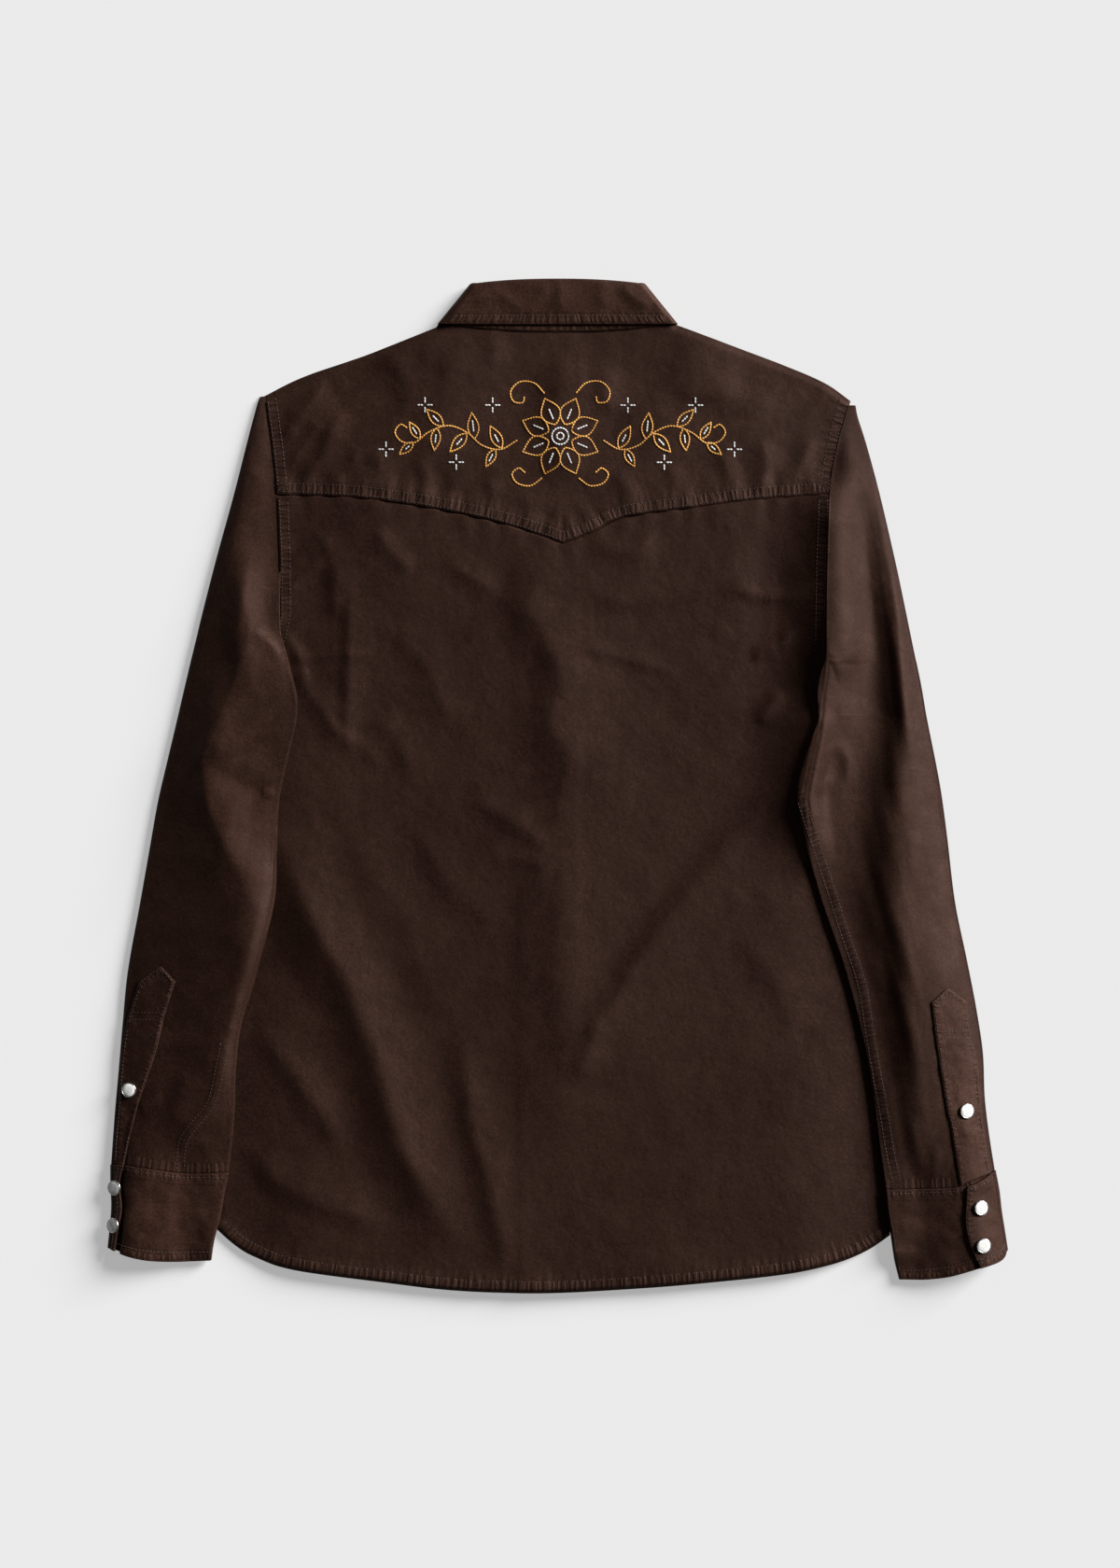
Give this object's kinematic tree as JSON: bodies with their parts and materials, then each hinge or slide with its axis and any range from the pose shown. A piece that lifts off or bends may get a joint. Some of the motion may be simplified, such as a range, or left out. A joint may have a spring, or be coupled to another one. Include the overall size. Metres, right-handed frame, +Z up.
{
  "type": "western snap shirt",
  "caption": "Long-sleeved western shirt with a pointed back yoke, snap front, flap pockets and snap cuffs, laid flat face down.",
  "frame": {"origin": "centre of the bottom of the bounding box, on the surface that the shirt lies on, under the middle of its back", "axes": "+Z up, out of the shirt's back; +Y towards the collar; +X towards the wearer's right sleeve"},
  "size_m": [0.6937, 0.7808, 0.0237],
  "materials": {
    "twill": "garment-dyed dark brown cotton twill, matt, with washed seams",
    "pearl_snap": "glossy off-white pearl cap in a thin bright metal rim"
  },
  "bodies": {
    "root": {"back": "twill", "back_yoke": "twill", "front_left": "twill", "front_right": "twill", "front_placket": "twill", "pocket_left": "twill", "pocket_right": "twill", "pocket_flap_left": "twill", "pocket_flap_right": "twill", "collar_stand": "twill", "collar_fall": "twill", "sleeve_left": "twill", "sleeve_right": "twill", "sleeve_placket_left": "twill", "sleeve_placket_right": "twill", "cuff_left": "twill", "cuff_right": "twill", "front_snap_1": "pearl_snap", "front_snap_2": "pearl_snap", "front_snap_3": "pearl_snap", "front_snap_4": "pearl_snap", "front_snap_5": "pearl_snap", "front_snap_6": "pearl_snap", "collar_snap": "pearl_snap", "pocket_snap_left_outer": "pearl_snap", "pocket_snap_left_inner": "pearl_snap", "pocket_snap_right_inner": "pearl_snap", "pocket_snap_right_outer": "pearl_snap", "placket_snap_left": "pearl_snap", "placket_snap_right": "pearl_snap", "cuff_snap_left_upper": "pearl_snap", "cuff_snap_left_lower": "pearl_snap", "cuff_snap_right_upper": "pearl_snap", "cuff_snap_right_lower": "pearl_snap"}
  },
  "joints": []
}
